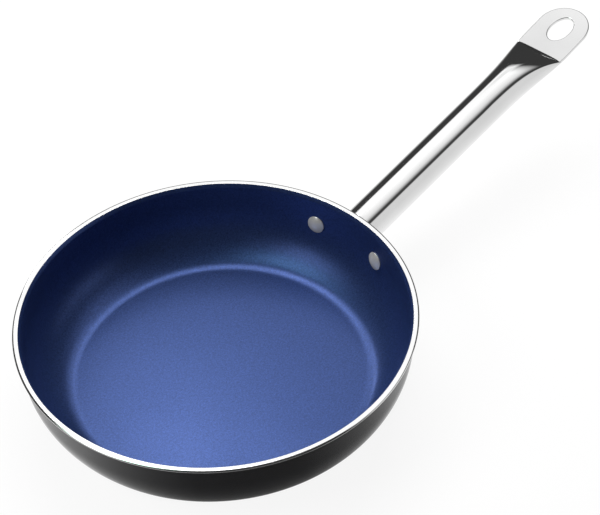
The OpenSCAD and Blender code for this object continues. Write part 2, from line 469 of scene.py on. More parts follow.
class Wiring:
    """Adds and links the nodes of one node tree."""

    def __init__(self, tree: bpy.types.NodeTree) -> None:
        """Keeps the tree to work in."""
        self.tree = tree

    def add(self, kind: str, *sources: object, **settings: object) -> Node:
        """Adds a node.

        Args:
            kind: Blender's type of the node.
            sources: What feeds its first inputs, in order.
            settings: Its properties by name.

        Returns:
            The new node.
        """
        node = self.tree.nodes.new(kind)
        for name, value in settings.items():
            setattr(node, name, value)
        for key, source in enumerate(sources):
            self.feed(node, key, source)
        return node

    def feed(self, node: Node, key: str | int, source: object) -> None:
        """Feeds one input of a node.

        Args:
            node: The node to feed.
            key: Name or number of its input.
            source: A socket to link, or a value to set.
        """
        if isinstance(source, Socket):
            self.tree.links.new(source, node.inputs[key])
        else:
            node.inputs[key].default_value = source

    def fill(self, node: Node, **values: object) -> Mapping[str, Socket]:
        """Feeds several inputs of a node.

        Args:
            node: The node to feed.
            values: What feeds each input, with its name's spaces written as underscores.

        Returns:
            The node's outputs.
        """
        for name, value in values.items():
            self.feed(node, name.replace("_", " "), value)
        return node.outputs

    def math(self, operation: str, first: object, second: object = 0.0) -> Socket:
        """Output of a Math node on two sockets or numbers."""
        return self.add("ShaderNodeMath", first, second, operation=operation).outputs[0]

    def vector(self, operation: str, *sources: object) -> Socket:
        """Vector output of a Vector Math node on sockets or triples."""
        return self.add("ShaderNodeVectorMath", *sources, operation=operation).outputs[0]

    def remap(self, value: object, source: Point, target: Point, curve: str = "LINEAR") -> Socket:
        """Value moved from one range to another, and clamped to it."""
        numbers = (value, *source, *target)
        return self.add("ShaderNodeMapRange", *numbers, interpolation_type=curve).outputs[0]

    def noise(self, place: object, scale: object, detail: float = 2.0, rough: float = 0.5) -> Socket:
        """Value of a three-dimensional noise at a place."""
        node = self.add("ShaderNodeTexNoise")
        return self.fill(node, Vector=place, Scale=scale, Detail=detail, Roughness=rough)["Fac"]

    def blend(self, mask: object, low: object, high: object) -> Socket:
        """Colour between two others.

        Args:
            mask: Share of the second colour.
            low: The first colour.
            high: The second colour.

        Returns:
            The socket of the colour.
        """
        node = self.add("ShaderNodeMix", mask, data_type="RGBA")
        self.feed(node, 6, low)
        self.feed(node, 7, high)
        return node.outputs[2]

    def bump(self, height: object, distance: float) -> Socket:
        """Normal of a surface raised by a height times a distance in millimetres."""
        node = self.add("ShaderNodeBump")
        return self.fill(node, Strength=1.0, Distance=distance * MM, Height=height)["Normal"]

    def use(self, group: bpy.types.NodeTree, **values: object) -> Mapping[str, Socket]:
        """Adds a group, feeds its inputs by name, and returns its outputs."""
        return self.fill(self.add("ShaderNodeGroup", node_tree=group), **values)


def new_group(
    name: str, numbers: Iterable[str], outputs: Iterable[str]
) -> tuple[Wiring, Mapping[str, Socket], Node]:
    """Starts a shader node group that works at a place.

    Args:
        name: Name of the group.
        numbers: Name of each input after the place.
        outputs: Name of each output, all of them numbers.

    Returns:
        The group's wiring, the sockets that give its inputs, and its output node.
    """
    tree = bpy.data.node_groups.new(name, "ShaderNodeTree")
    tree.interface.new_socket("Place", in_out="INPUT", socket_type="NodeSocketVector")
    for side, labels in (("INPUT", numbers), ("OUTPUT", outputs)):
        for label in labels:
            tree.interface.new_socket(label, in_out=side, socket_type="NodeSocketFloat")
    return Wiring(tree), tree.nodes.new("NodeGroupInput").outputs, tree.nodes.new("NodeGroupOutput")


def new_material(name: str) -> tuple[Material, Wiring, Node]:
    """Starts a material.

    Args:
        name: Name of the material.

    Returns:
        The material, the wiring of its tree, and its Principled BSDF.
    """
    material = bpy.data.materials.new(name)
    material.use_nodes = True
    return material, Wiring(material.node_tree), material.node_tree.nodes["Principled BSDF"]


def new_glow(name: str, strength: float = 1.0) -> tuple[Material, Wiring, Node]:
    """Starts a material that only glows.

    Args:
        name: Name of the material.
        strength: Strength of the glow.

    Returns:
        The material, the wiring of its tree, and its Emission node.
    """
    material, wiring, _ = new_material(name)
    material.node_tree.nodes.clear()
    emission = wiring.add("ShaderNodeEmission")
    wiring.feed(emission, "Strength", strength)
    wiring.add("ShaderNodeOutputMaterial", emission.outputs[0])
    return material, wiring, emission


class Effects:
    """Shader node groups that several finishes share.

    Marks are a noise that is drawn out: a radian round the axis counts as turn_length metres, and a
    metre along the handle as along_length metres.
    """

    grain_span = (0.35, 0.65)
    smudge_span = (0.3, 0.7)
    turn_length = 0.0006
    along_length = 0.02

    def __init__(self) -> None:
        """Builds each group once."""
        self.grain = self._grain()
        self.smudges = self._smudges()
        self.marks = {run: self._marks(run) for run in Run}

    def _grain(self) -> bpy.types.NodeTree:
        """Sprayed grain on two scales.

        Returns:
            The group, which gives a height and a fleck mask of the same grains.
        """
        numbers = ("Fine Scale", "Coarse Scale", "Coarse Share")
        wiring, given, made = new_group("sprayed_grain", numbers, ("Height", "Fleck"))
        mix = wiring.add("ShaderNodeMix", given["Coarse Share"], data_type="FLOAT")
        wiring.feed(mix, 2, wiring.noise(given["Place"], given["Fine Scale"], detail=1.0))
        wiring.feed(mix, 3, wiring.noise(given["Place"], given["Coarse Scale"], detail=1.0))
        wiring.feed(made, "Height", mix.outputs[0])
        wiring.feed(made, "Fleck", wiring.remap(mix.outputs[0], self.grain_span, UNIT))
        return wiring.tree

    def _smudges(self) -> bpy.types.NodeTree:
        """Large soft patches, as handling and cleaning leave them.

        Returns:
            The group, which gives a mask.
        """
        wiring, given, made = new_group("smudges", ("Scale",), ("Mask",))
        patches = wiring.noise(given["Place"], given["Scale"], detail=3.0, rough=0.55)
        wiring.feed(made, "Mask", wiring.remap(patches, self.smudge_span, UNIT, "SMOOTHSTEP"))
        return wiring.tree

    def _marks(self, run: Run) -> bpy.types.NodeTree:
        """Fine tool marks: turned round the pan's axis, or polished along the handle.

        Args:
            run: Way in which they run.

        Returns:
            The group, which gives a height.
        """
        name = "turned_marks" if run is Run.ROUND else "polish_lines"
        wiring, given, made = new_group(name, ("Spacing",), ("Height",))
        x, y, z = wiring.add("ShaderNodeSeparateXYZ", given["Place"]).outputs
        if run is Run.ROUND:
            squares = wiring.math("ADD", wiring.math("MULTIPLY", x, x), wiring.math("MULTIPLY", y, y))
            turn = wiring.math("MULTIPLY", wiring.math("ARCTAN2", y, x), self.turn_length)
            axes = (wiring.math("SQRT", squares), z, turn)
        else:
            axes = (wiring.math("MULTIPLY", x, self.along_length), y, z)
        joined = wiring.add("ShaderNodeCombineXYZ", *axes)
        rate = wiring.math("DIVIDE", 1.0, given["Spacing"])
        wiring.feed(made, "Height", wiring.noise(joined.outputs[0], rate, detail=2.0, rough=0.6))
        return wiring.tree


# Finishes


@dataclass(frozen=True)
class Finish:
    """A finish: its colour and gloss, with the detail that a subclass wires to them."""

    name: str
    colour: Colour
    metallic: float
    roughness: float

    def make(self, effects: Effects) -> Material:
        """Builds the material with this finish.

        Args:
            effects: The shared groups.

        Returns:
            The material.
        """
        material, wiring, shader = new_material(self.name)
        colour = (*self.colour, 1.0)
        wiring.fill(shader, Base_Color=colour, Metallic=self.metallic, Roughness=self.roughness)
        place = wiring.add("ShaderNodeTexCoord").outputs["Object"]
        self.detail(wiring, shader, place, effects)
        return material

    def detail(self, wiring: Wiring, shader: Node, place: Socket, effects: Effects) -> None:
        """Wires the finish's own detail to the shader.

        Args:
            wiring: Tools on the material's tree.
            shader: The Principled BSDF.
            place: Object coordinates.
            effects: The shared groups.
        """

    def shades(self, low: float, high: float) -> tuple[tuple[float, ...], ...]:
        """The colour times two numbers, as a darker and a lighter colour."""
        return tuple((*(part * share for part in self.colour), 1.0) for share in (low, high))

    def gloss(self, spread: float) -> Point:
        """Range of the roughness, from spread below it to spread above it."""
        return self.roughness - spread, self.roughness + spread


@dataclass(frozen=True)
class SprayedCoat(Finish):
    """Sprayed and cured coat with a grain: part metallic in the lining, glossy in the enamel."""

    fine_grain: float
    coarse_grain: float
    coarse_share: float
    grain_height: float
    fleck: float
    roughness_spread: float
    smudge_rate: float = 14.0

    def detail(self, wiring: Wiring, shader: Node, place: Socket, effects: Effects) -> None:
        """Wires grain to colour and normal, and smudges to roughness.

        Args:
            wiring: Tools on the material's tree.
            shader: The Principled BSDF.
            place: Object coordinates.
            effects: The shared groups.
        """
        grain = wiring.use(
            effects.grain,
            Place=place,
            Fine_Scale=1 / (self.fine_grain * MM),
            Coarse_Scale=1 / (self.coarse_grain * MM),
            Coarse_Share=self.coarse_share,
        )
        smudges = wiring.use(effects.smudges, Place=place, Scale=self.smudge_rate)["Mask"]
        wiring.fill(
            shader,
            Base_Color=wiring.blend(grain["Fleck"], *self.shades(1 - self.fleck, 1 + self.fleck)),
            Roughness=wiring.remap(smudges, UNIT, self.gloss(self.roughness_spread)),
            Normal=wiring.bump(grain["Height"], self.grain_height),
        )


@dataclass(frozen=True)
class WorkedMetal(Finish):
    """Bare metal with the marks of the tool that finished it."""

    run: Run
    spacing: float
    mark_height: float
    roughness_spread: float
    lean: float = 0.0
    smudge_rate: float = 22.0
    smudge_share: float = 0.4
    smudge_shades: Point = (0.96, 1.02)
    mixed_span: Point = (0.2, 0.8)

    def detail(self, wiring: Wiring, shader: Node, place: Socket, effects: Effects) -> None:
        """Wires marks to the normal, and smudges to colour and roughness.

        Args:
            wiring: Tools on the material's tree.
            shader: The Principled BSDF.
            place: Object coordinates.
            effects: The shared groups.
        """
        turned = wiring.add("ShaderNodeMapping", place)
        wiring.feed(turned, "Rotation", (0.0, math.radians(self.lean), 0.0))
        group, spacing = effects.marks[self.run], self.spacing * MM
        marks = wiring.use(group, Place=turned.outputs[0], Spacing=spacing)["Height"]
        smudges = wiring.use(effects.smudges, Place=place, Scale=self.smudge_rate)["Mask"]
        mixed = wiring.math(
            "ADD",
            wiring.math("MULTIPLY", marks, 1 - self.smudge_share),
            wiring.math("MULTIPLY", smudges, self.smudge_share),
        )
        wiring.fill(
            shader,
            Base_Color=wiring.blend(smudges, *self.shades(*self.smudge_shades)),
            Roughness=wiring.remap(mixed, self.mixed_span, self.gloss(self.roughness_spread)),
            Normal=wiring.bump(marks, self.mark_height),
        )


@dataclass(frozen=True)
class BlastedMetal(Finish):
    """Satin metal with a fine even grain, darker where dirt or heat has stained it."""

    grain: float
    grain_height: float
    stain: Colour
    stain_share: float
    roughness_spread: float = 0.05
    smudge_rate: float = 160.0
    coarse_rate: float = 0.3
    coarse_share: float = 0.4

    def detail(self, wiring: Wiring, shader: Node, place: Socket, effects: Effects) -> None:
        """Wires grain to normal and roughness, and stains to colour.

        Args:
            wiring: Tools on the material's tree.
            shader: The Principled BSDF.
            place: Object coordinates.
            effects: The shared groups.
        """
        grain = wiring.use(
            effects.grain,
            Place=place,
            Fine_Scale=1 / (self.grain * MM),
            Coarse_Scale=self.coarse_rate / (self.grain * MM),
            Coarse_Share=self.coarse_share,
        )
        smudges = wiring.use(effects.smudges, Place=place, Scale=self.smudge_rate)["Mask"]
        mask = wiring.math("MULTIPLY", smudges, self.stain_share)
        wiring.fill(
            shader,
            Base_Color=wiring.blend(mask, (*self.colour, 1.0), (*self.stain, 1.0)),
            Roughness=wiring.remap(grain["Fleck"], UNIT, self.gloss(self.roughness_spread)),
            Normal=wiring.bump(grain["Height"], self.grain_height),
        )


# The pan


@dataclass
class Pan:
    """Body, lining, enamel and rim band, all turned from one section."""

    section: PanSection
    lining: SprayedCoat
    enamel: SprayedCoat
    ground_steel: WorkedMetal
    rim_steel: WorkedMetal
    lean: float = 0.17
    fold_h: float = 0.04
    fold_w: float = 0.06
    bend_steps: int = 28
    inner_steps: int = 12

    def build(self, effects: Effects) -> list[Piece]:
        """Builds and dresses the four pieces.

        Args:
            effects: The shared groups.

        Returns:
            Body, lining, enamel and rim band.
        """
        made = []
        for name, node, slot, path, finish in (
            ("body", "pan_body", Slot.BODY, self._body(), self.ground_steel),
            ("lining", "nonstick_lining", Slot.LINING, self._lining(), self.lining),
            ("enamel", "outer_enamel", Slot.ENAMEL, self._enamel(), self.enamel),
            ("rim", "rim_band", Slot.RIM, self._rim_band(), self.rim_steel),
        ):
            piece = turn_section(name, path)
            smooth(piece)
            made.append(finish_piece(piece, node, finish.make(effects)))
        return made

    def _body(self) -> list[Point]:
        """Steel between the coats, bare on its ground base.

        Returns:
            The points, from the axis round to the axis.
        """
        s = self.section
        path = [*s.inner_path(s.lining_t), *reversed(s.outer_path(s.enamel_t, 0.0))]
        base_r = path[-1][0]
        return [*path, (base_r - s.support, 0.0), (base_r / 2, 0.0), (0.0, 0.0)]

    def _lining(self) -> list[Point]:
        """Lining over the floor, the wall and the lip."""
        s = self.section
        return [*s.inner_path(0.0), *reversed(s.inner_path(s.lining_t))]

    def _enamel(self) -> list[Point]:
        """Enamel from the heel to the underside of the flange.

        Returns:
            The points, back to the first one.
        """
        s = self.section
        inner = s.outer_path(s.enamel_t, s.enamel_start)
        return [*inner, *reversed(s.outer_path(0.0, s.enamel_start)), inner[0]]

    def _rim_band(self) -> list[Point]:
        """Sheet closed over the flange, its top leaning a little towards the pan's inside.

        Returns:
            The points, back to the first one.
        """
        s = self.section
        half = s.rim_h / 2
        under_r = s.wall_r(s.under_z, s.wall_t) + s.band_t
        inner = s.lip_c[0] + s.lip_w
        foot = (inner, s.pan_h - s.band_t)
        return [
            foot,
            (inner, foot[1] + self.fold_h),
            (inner + self.fold_w, s.pan_h - self.lean),
            *self._bend(s.bend_w, half, 90, -90, self.bend_steps),
            (under_r + s.support, s.pan_h - s.rim_h),
            (under_r, s.pan_h - s.rim_h),
            (under_r, s.under_z),
            *self._bend(s.bend_w - s.band_t, half - s.band_t, -90, 90, self.inner_steps),
            foot,
        ]

    def _bend(self, width: float, height: float, start: float, end: float, steps: int) -> list[Point]:
        """Outer bend of the rim band, an arc that is wider than it is high.

        Args:
            width: Its reach along the radius.
            height: Its reach along Z.
            start: Angle of its first point, in degrees.
            end: Angle of its last point.
            steps: Steps between them.

        Returns:
            The points of the bend.
        """
        s = self.section
        centre = (s.rim_r - s.bend_w, s.bend_c[1])
        unit = arc((0.0, 0.0), 1.0, start, end, steps)
        return [(centre[0] + x * width, centre[1] + z * height) for x, z in unit]


# The handle


@dataclass(frozen=True)
class HandleShape:
    """Sizes of the handle, in millimetres and degrees, in its own frame with +X along the tube."""

    section: PanSection
    rise: float = 12.0
    drop: float = 19.0
    tube_r: float = 12.5
    tube_l: float = 120.0
    squash_l: float = 70.0
    width_power: float = 3.0
    height_power: float = 5.0
    square_power: float = 5.0
    end_square: float = 4.0
    end_thin: float = 0.06
    tab_l: float = 42.5
    tab_w: float = 36.3
    tab_t: float = 2.4
    tab_tilt: float = 2.5
    tab_inset: float = 0.35
    tab_inset_l: float = 4.0
    hole_l: float = 22.0
    hole_w: float = 14.8
    hole_from_bend: float = 22.9
    bracket_t: float = 1.6
    bracket_middle_r: float = 16.5
    bracket_ear_r: float = 8.5
    rivet_angle: float = 12.8
    rivet_drop: float = 20.5

    @property
    def depth(self) -> float:
        """Distance from the lining's face to the bracket's outer face."""
        return self.section.wall_t + self.bracket_t

    @property
    def start(self) -> Place:
        """Where the tube's axis leaves the bracket."""
        height = self.section.pan_h - self.drop
        return self.section.wall_r(height, self.depth), 0.0, height

    @property
    def bend_u(self) -> float:
        """Distance along the tube to the bend line of the flat end."""
        return self.tube_l + self.squash_l

    @property
    def rivet_z(self) -> float:
        """Height of the rivets."""
        return self.section.pan_h - self.rivet_drop

    @property
    def ear_y(self) -> float:
        """Sideways place of each ear's centre."""
        out = self.section.wall_r(self.rivet_z, self.depth)
        return out * math.sin(math.radians(self.rivet_angle))

    def frame(self) -> Matrix:
        """Matrix from the handle's frame to the pan's, in metres."""
        turn = Matrix.Rotation(math.radians(-self.rise), 4, "Y")
        return Matrix.Translation(Vector(self.start) * MM) @ turn

    def tab_frame(self) -> Matrix:
        """Matrix from the flat end's frame to the handle's, in metres."""
        turn = Matrix.Rotation(math.radians(-self.tab_tilt), 4, "Y")
        return Matrix.Translation((self.bend_u * MM, 0.0, 0.0)) @ turn

    def rivet_frame(self, side: int) -> Matrix:
        """Matrix from a rivet's frame, with +Z out of the pan, to the pan's.

        Args:
            side: 1 for the rivet towards +Y, and -1 for the other.

        Returns:
            The matrix, in metres.
        """
        pan = self.section
        lean = math.degrees(math.asin((self.rivet_z - pan.bowl_c[1]) / pan.bowl_r))
        place = Vector((pan.wall_r(self.rivet_z, 0.0), 0.0, self.rivet_z)) * MM
        round_pan = Matrix.Rotation(math.radians(side * self.rivet_angle), 4, "Z")
        return round_pan @ Matrix.Translation(place) @ Matrix.Rotation(math.radians(90 - lean), 4, "Y")

    def root_u(self, y: float, z: float) -> float:
        """Distance along the handle at which a line beside its axis leaves the bracket.

        Args:
            y: Sideways distance of the line from the tube's axis.
            z: Its distance above the axis.

        Returns:
            The distance from where the axis leaves the bracket.
        """
        cosine, sine = math.cos(math.radians(self.rise)), math.sin(math.radians(self.rise))
        u = 0.0
        for _ in range(8):
            height = self.start[2] + u * sine + z * cosine
            out = math.hypot(self.start[0] + u * cosine - z * sine, y)
            u -= (out - self.section.wall_r(height, self.depth)) / cosine
        return u

    def pressed(self, u: float, angle: float) -> Place:
        """Point of the tube's outside, which is pressed towards the bend line.

        Args:
            u: Distance along the tube.
            angle: Angle round it, in radians.

        Returns:
            The point, in the handle's frame.
        """
        share = max(0.0, (u - self.tube_l) / self.squash_l)
        half_w = self.tube_r + (self.tab_w / 2 - self.tube_r) * share**self.width_power
        end_half = self.tab_t / 2 - self.end_thin
        half_h = self.tube_r + (end_half - self.tube_r) * share**self.height_power
        power = 2 / (2 + (self.end_square - 2) * share**self.square_power)
        cosine, sine = math.cos(angle), math.sin(angle)
        y = half_w * math.copysign(abs(cosine) ** power, cosine)
        z = half_h * math.copysign(abs(sine) ** power, sine)
        return u, y, z

    def outline_reach(self, turn: float) -> float:
        """Reach of the bracket's outline from the tube's axis, in one direction.

        The outline is the hull of the middle disc and the two ears.

        Args:
            turn: Direction from +Y towards +Z, in radians.

        Returns:
            The reach in millimetres.
        """
        ear_z, ear_r = self.rivet_z - self.start[2], self.bracket_ear_r
        discs = ((0.0, 0.0, self.bracket_middle_r), (self.ear_y, ear_z, ear_r), (-self.ear_y, ear_z, ear_r))
        reach, grazing = math.inf, 0.05
        for side in map(math.radians, range(360)):
            facing = math.cos(side - turn)
            if facing >= grazing:
                support = max(y * math.cos(side) + z * math.sin(side) + r for y, z, r in discs)
                reach = min(reach, support / facing)
        return reach


@dataclass(frozen=True)
class RivetShape:
    """Sizes of a rivet, in millimetres and degrees, with its inner head below z = 0.

    The head is domed inside the pan, and the tail is closed flatter on the bracket. Each has an edge
    that an arc rounds between two angles, and a small step where it sits on the sheet.
    """

    head_r: float = 5.85
    head_h: float = 2.6
    dome_gap: float = 3.0
    dome_steps: int = 14
    edge_h: float = 0.8
    edge_lift: float = 0.1
    edge_r: float = 0.35
    edge_turns: Point = (-50.0, 30.0)
    edge_steps: int = 4
    seat_h: float = 0.3
    seat_w: float = 0.15
    shank_r: float = 3.0
    tail_r: float = 5.0
    tail_h: float = 2.2
    tail_seat_w: float = 0.2
    tail_edge_z: float = 0.9
    tail_edge_r: float = 0.6
    tail_edge_turns: Point = (-60.0, 70.0)
    tail_edge_steps: int = 6
    tail_dome_r: float = 9.0
    tail_dome_turns: Point = (66.0, 90.0)
    tail_dome_steps: int = 10

    def path(self, grip: float) -> list[Point]:
        """Section of the rivet, with both its heads.

        Args:
            grip: Thickness of the sheets that it holds.

        Returns:
            The points, from the axis round to the axis.
        """
        dome_h = self.head_h - self.edge_h
        dome_r = (self.head_r**2 + dome_h**2) / (2 * dome_h)
        dome_turn = math.degrees(math.asin(self.head_r / dome_r))
        dome_end = dome_turn - 90 - self.dome_gap
        edge_c = (self.head_r - self.edge_r, self.edge_lift - self.edge_h)
        tail_edge_c = (self.tail_r - self.tail_edge_r, grip + self.tail_edge_z)
        tail_dome_c = (0.0, grip + self.tail_h - self.tail_dome_r)
        return [
            *arc((0.0, dome_r - self.head_h), dome_r, -90, dome_end, self.dome_steps),
            *arc(edge_c, self.edge_r, *self.edge_turns, self.edge_steps),
            (self.head_r, -self.seat_h),
            (self.head_r - self.seat_w, 0.0),
            (self.shank_r, 0.0),
            (self.shank_r, grip),
            (self.tail_r - self.tail_seat_w, grip),
            *arc(tail_edge_c, self.tail_edge_r, *self.tail_edge_turns, self.tail_edge_steps),
            *arc(tail_dome_c, self.tail_dome_r, *self.tail_dome_turns, self.tail_dome_steps),
        ]


@dataclass(frozen=True)
class BeadShape:
    """Radius of the weld bead's section, in millimetres, and the ripples that scale it."""

    radius: float = 2.0
    ripples: int = 22
    ripple_share: float = 0.1
    slant: float = 0.5
    waves: int = 5
    wave_share: float = 0.03
    least: float = 0.93

    def scale(self, turn: float, round_section: float) -> float:
        """Scale of the section at an angle round the tube and an angle round the section."""
        ripple = abs(math.sin(turn * self.ripples + self.slant * math.cos(round_section)))
        return self.least + self.ripple_share * ripple + self.wave_share * math.sin(turn * self.waves)


@dataclass
class Handle:
    """Tube with its flat end, the bracket, the weld and the rivets."""

    shape: HandleShape
    polished: WorkedMetal
    weld_steel: BlastedMetal
    rivet_metal: BlastedMetal
    rivet: RivetShape = RivetShape()
    bead: BeadShape = BeadShape()
    points_round: int = 128
    press_rings: int = 44
    straight_rings: int = 8
    root_stops: Sequence[float] = (0.0, 1.0, 4.0, 10.0)
    root_blend: float = 20.0
    plate_points: int = 144
    bracket_rings: int = 14
    near_bend: float = 4.0
    bend_crease: float = 11.0
    crease: float = 50.0

    def build(self, effects: Effects) -> list[Piece]:
        """Builds and dresses all of the handle's pieces."""
        steel = self.polished.make(effects)
        return [self._tube(steel), self._bracket(steel), self._weld(effects), *self._rivets(effects)]

    def _tube(self, steel: Material) -> Piece:
        """Tube, cut to the bracket at its root and pressed flat towards the far end.

        Args:
            steel: The polished finish.

        Returns:
            The piece, with its flat end.
        """
        s = self.shape
        piece = add_circle("tube", self.points_round, s.tube_r, rotation=UPRIGHT)
        apply_place(piece)
        straight = s.tube_l - self.root_blend
        stops = [*self.root_stops, self.root_blend]
        for i in range(1, self.straight_rings + 1):
            stops.append(self.root_blend + straight * i / self.straight_rings)
        for i in range(1, self.press_rings + 1):
            stops.append(s.tube_l + s.squash_l * math.sqrt(i / self.press_rings))
        with editing(piece):
            for before, after in zip(stops, stops[1:]):
                extrude(((after - before) * MM, 0.0, 0.0))
        reshape(piece, self._press)
        with editing(piece, select=False):
            bpy.ops.mesh.select_non_manifold()
            bpy.ops.mesh.fill_holes(sides=0)
        tidy_mesh(piece)
        flat_end = self._flat_end()
        apply_modifier(piece, "BOOLEAN", operation="UNION", solver="EXACT", object=flat_end)
        bpy.data.objects.remove(flat_end)
        drop_collapsed(piece)
        self._mark_bend(piece)
        place_piece(piece, s.frame())
        return finish_piece(piece, "handle_tube", steel)

    def _press(self, place: Vector) -> Place:
        """Presses and cuts the tube.

        Args:
            place: A point of the straight tube.

        Returns:
            Its place on the tube that is pressed, and cut to the bracket.
        """
        s = self.shape
        u, y, z = s.pressed(place.x, math.atan2(place.z, place.y))
        if u < self.root_blend:
            u += s.root_u(y, z) * (1 - u / self.root_blend)
        return u, y, z

    def _flat_end(self) -> Piece:
        """Flat end: a round-tipped plate with an oval hole and rounded edges.

        Returns:
            The plate, at its place in the handle's frame.
        """
        s = self.shape
        piece = add_circle("flat_end", self.plate_points, s.tab_w / 2)
        reshape(piece, self._plate_outline)
        with editing(piece, select=None):
            bpy.ops.mesh.primitive_circle_add(vertices=self.plate_points, radius=MM)
            oval = (s.hole_l / 2, s.hole_w / 2, 1.0)
            bpy.ops.transform.resize(value=oval, center_override=(0.0, 0.0, 0.0))
            bpy.ops.transform.translate(value=(s.hole_from_bend * MM, 0.0, 0.0))
            bpy.ops.mesh.select_all(action="SELECT")
            bpy.ops.mesh.bridge_edge_loops()
        tidy_mesh(piece)
        thicken(piece, s.tab_t, offset=0.0, edge=0.6, steps=6, limit=60)
        place_piece(piece, s.tab_frame())
        return piece

    def _plate_outline(self, place: Vector) -> Place:
        """Draws the flat end's outline.

        Args:
            place: A point of a circle as wide as the flat end.

        Returns:
            Its place on the outline, which is drawn in a little at the bend line.
        """
        s = self.shape
        half, eighth = s.tab_w / 2, 45.0
        root, straight = -s.tab_t / 2, s.tab_l - half
        if place.x >= 0:
            return place.x + straight, place.y, 0.0
        turn = math.degrees(math.acos(min(1.0, abs(place.y) / half)))
        side = math.copysign(1.0, place.y)
        if turn < eighth:
            share = turn / eighth
            x = straight + (root - straight) * share
            inset = s.tab_inset * min(1.0, max(0.0, (s.tab_inset_l - x) / s.tab_inset_l))
            return x, side * (half - inset), 0.0
        return root, side * (half - s.tab_inset) * (2 * eighth - turn) / eighth, 0.0

    def _mark_bend(self, piece: Piece) -> None:
        """Shades the handle smooth, with the bend line and the cut root kept sharp.

        Args:
            piece: The tube with its flat end, in the handle's frame.
        """
        pick(piece)
        bpy.ops.object.shade_smooth()
        edges = piece.data.edges
        normals: dict[int, list[Vector]] = {}
        lookup = {key: i for i, key in enumerate(piece.data.edge_keys)}
        for face in piece.data.polygons:
            for key in face.edge_keys:
                normals.setdefault(lookup[key], []).append(face.normal.copy())
        for index, pair in normals.items():
            ends = [piece.data.vertices[i].co.x / MM for i in edges[index].vertices]
            near = abs(sum(ends) / 2 - self.shape.bend_u) < self.near_bend
            angle = math.degrees(pair[0].angle(pair[-1], 0.0))
            edges[index].use_edge_sharp = angle > (self.bend_crease if near else self.crease)
        weigh_normals(piece)

    def _bracket(self, steel: Material) -> Piece:
        """Sheet pressed to the wall's curve, with an ear for each rivet.

        Args:
            steel: The polished finish.

        Returns:
            The piece.
        """
        s = self.shape
        piece = add_circle("bracket", self.plate_points, 1.0)
        with editing(piece):
            for i in range(self.bracket_rings, 1, -1):
                extrude((0.0, 0.0, 0.0))
                ratio = (i - 1) / i
                bpy.ops.transform.resize(value=(ratio, ratio, 1.0), center_override=(0.0, 0.0, 0.0))
            extrude((0.0, 0.0, 0.0))
            bpy.ops.mesh.merge(type="CENTER")
        reshape(piece, self._lay_on_wall)
        tidy_mesh(piece)
        outwards = piece.data.polygons[0].normal.x > 0
        thicken(piece, s.bracket_t, offset=1.0 if outwards else -1.0, edge=0.45, steps=4, limit=50)
        smooth(piece, crease=35.0)
        return finish_piece(piece, "handle_bracket", steel)

    def _lay_on_wall(self, place: Vector) -> Place:
        """Lays the bracket's inner face on the wall.

        Args:
            place: A point of the unit disc that the bracket starts as.

        Returns:
            Its place on the enamel.
        """
        s = self.shape
        share = math.hypot(place.x, place.y)
        turn = math.atan2(place.y, place.x)
        reach = share * s.outline_reach(turn)
        y, z = reach * math.cos(turn), s.start[2] + reach * math.sin(turn)
        out = s.section.wall_r(z, s.section.wall_t)
        return math.sqrt(out**2 - y**2), y, z

    def _weld(self, effects: Effects) -> Piece:
        """Rippled bead in the corner between the tube and the bracket.

        Args:
            effects: The shared groups.

        Returns:
            The piece.
        """
        s = self.shape
        radii = {"major_radius": s.tube_r * MM, "minor_radius": self.bead.radius * MM}
        steps = {"major_segments": 288, "minor_segments": 16}
        piece = add_mesh(bpy.ops.mesh.primitive_torus_add, "weld_bead", **radii, **steps, rotation=UPRIGHT)
        apply_place(piece)
        reshape(piece, self._lay_bead)
        tidy_mesh(piece)
        smooth(piece, crease=60.0)
        place_piece(piece, s.frame())
        return finish_piece(piece, "handle_weld", self.weld_steel.make(effects))

    def _lay_bead(self, place: Vector) -> Place:
        """Ripples the weld and lays it along the tube's root.

        Args:
            place: A point of a plain ring round the tube.

        Returns:
            Its place on the bead, which follows the bracket.
        """
        s = self.shape
        turn = math.atan2(place.z, place.y)
        out = math.hypot(place.y, place.z) - s.tube_r
        scale = self.bead.scale(turn, math.atan2(place.x, out))
        y, z = s.tube_r * math.cos(turn), s.tube_r * math.sin(turn)
        reach = (s.tube_r + out * scale) / s.tube_r
        return s.root_u(y, z) + place.x * scale, y * reach, z * reach

    def _rivets(self, effects: Effects) -> list[Piece]:
        """Two rivets: domed heads inside, flatter heads closed on the bracket.

        Args:
            effects: The shared groups.

        Returns:
            Both rivets.
        """
        metal = self.rivet_metal.make(effects)
        path = self.rivet.path(self.shape.depth)
        made = []
        for name, side in (("rivet_left", 1), ("rivet_right", -1)):
            piece = turn_section(name, path, steps=64)
            smooth(piece, crease=40.0)
            place_piece(piece, self.shape.rivet_frame(side))
            made.append(finish_piece(piece, "rivets", metal))
        return made


# The studio


@dataclass(frozen=True)
class Fade:
    """How a card's light falls off along a direction: (distance, share) stops.

    With around set, the distance is the cosine of the angle from the direction, seen from above.
    """

    direction: Place
    stops: Stops
    around: bool = False

    def share(self, wiring: Wiring, place: Socket) -> Socket:
        """Share of the light at a place.

        Args:
            wiring: Tools on the card's tree.
            place: The place, in metres.

        Returns:
            The socket of the share.
        """
        scale = 1.0 if self.around else MM
        if self.around:
            place = wiring.vector("NORMALIZE", wiring.vector("MULTIPLY", place, (1.0, 1.0, 0.0)))
        axis = Vector(self.direction).normalized()
        along = wiring.add("ShaderNodeVectorMath", place, axis, operation="DOT_PRODUCT").outputs["Value"]
        first, last = self.stops[0][0], self.stops[-1][0]
        ramp = wiring.add("ShaderNodeValToRGB", wiring.remap(along, (first * scale, last * scale), UNIT))
        elements = ramp.color_ramp.elements
        while len(elements) < len(self.stops):
            elements.new(0.5)
        for element, (distance, level) in zip(elements, self.stops):
            element.position = (distance - first) / (last - first)
            element.color = (level, level, level, 1.0)
        return ramp.outputs["Color"]


